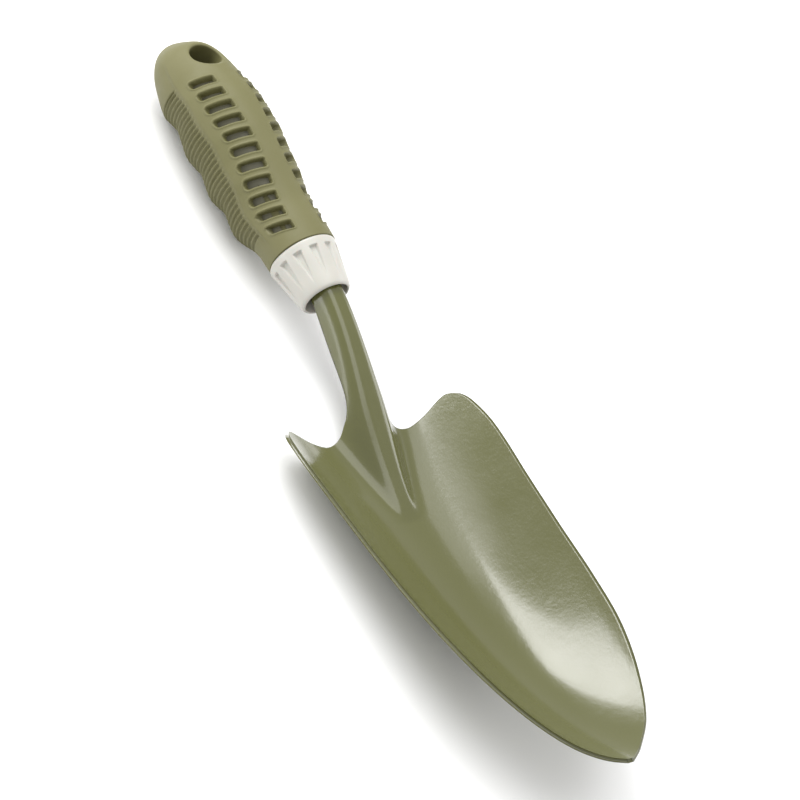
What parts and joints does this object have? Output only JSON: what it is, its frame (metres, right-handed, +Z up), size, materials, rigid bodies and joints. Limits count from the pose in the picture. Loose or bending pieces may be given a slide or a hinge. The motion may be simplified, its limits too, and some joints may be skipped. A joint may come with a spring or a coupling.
{
  "type": "hand trowel",
  "caption": "Garden hand trowel: deep pointed steel scoop on a raised channel neck, fluted collar, and a soft ribbed grip with finger hollows, side slots and a hang hole.",
  "frame": {"origin": "centre of the footprint on the floor the trowel lies on, hollow side up", "axes": "+X from the grip towards the tip of the blade, +Y across the blade, +Z up out of the scoop"},
  "size_m": [0.3306, 0.0874, 0.0403],
  "materials": {
    "painted_steel": "gloss",
    "core_plastic": "satin",
    "grip_rubber": "matte",
    "collar_plastic": "semi-gloss",
    "pin_steel": "plain"
  },
  "bodies": {
    "root": {"blade": "painted_steel", "handle_core": "core_plastic", "grip": "grip_rubber", "collar": "collar_plastic", "tang_pin": "pin_steel"}
  },
  "joints": []
}
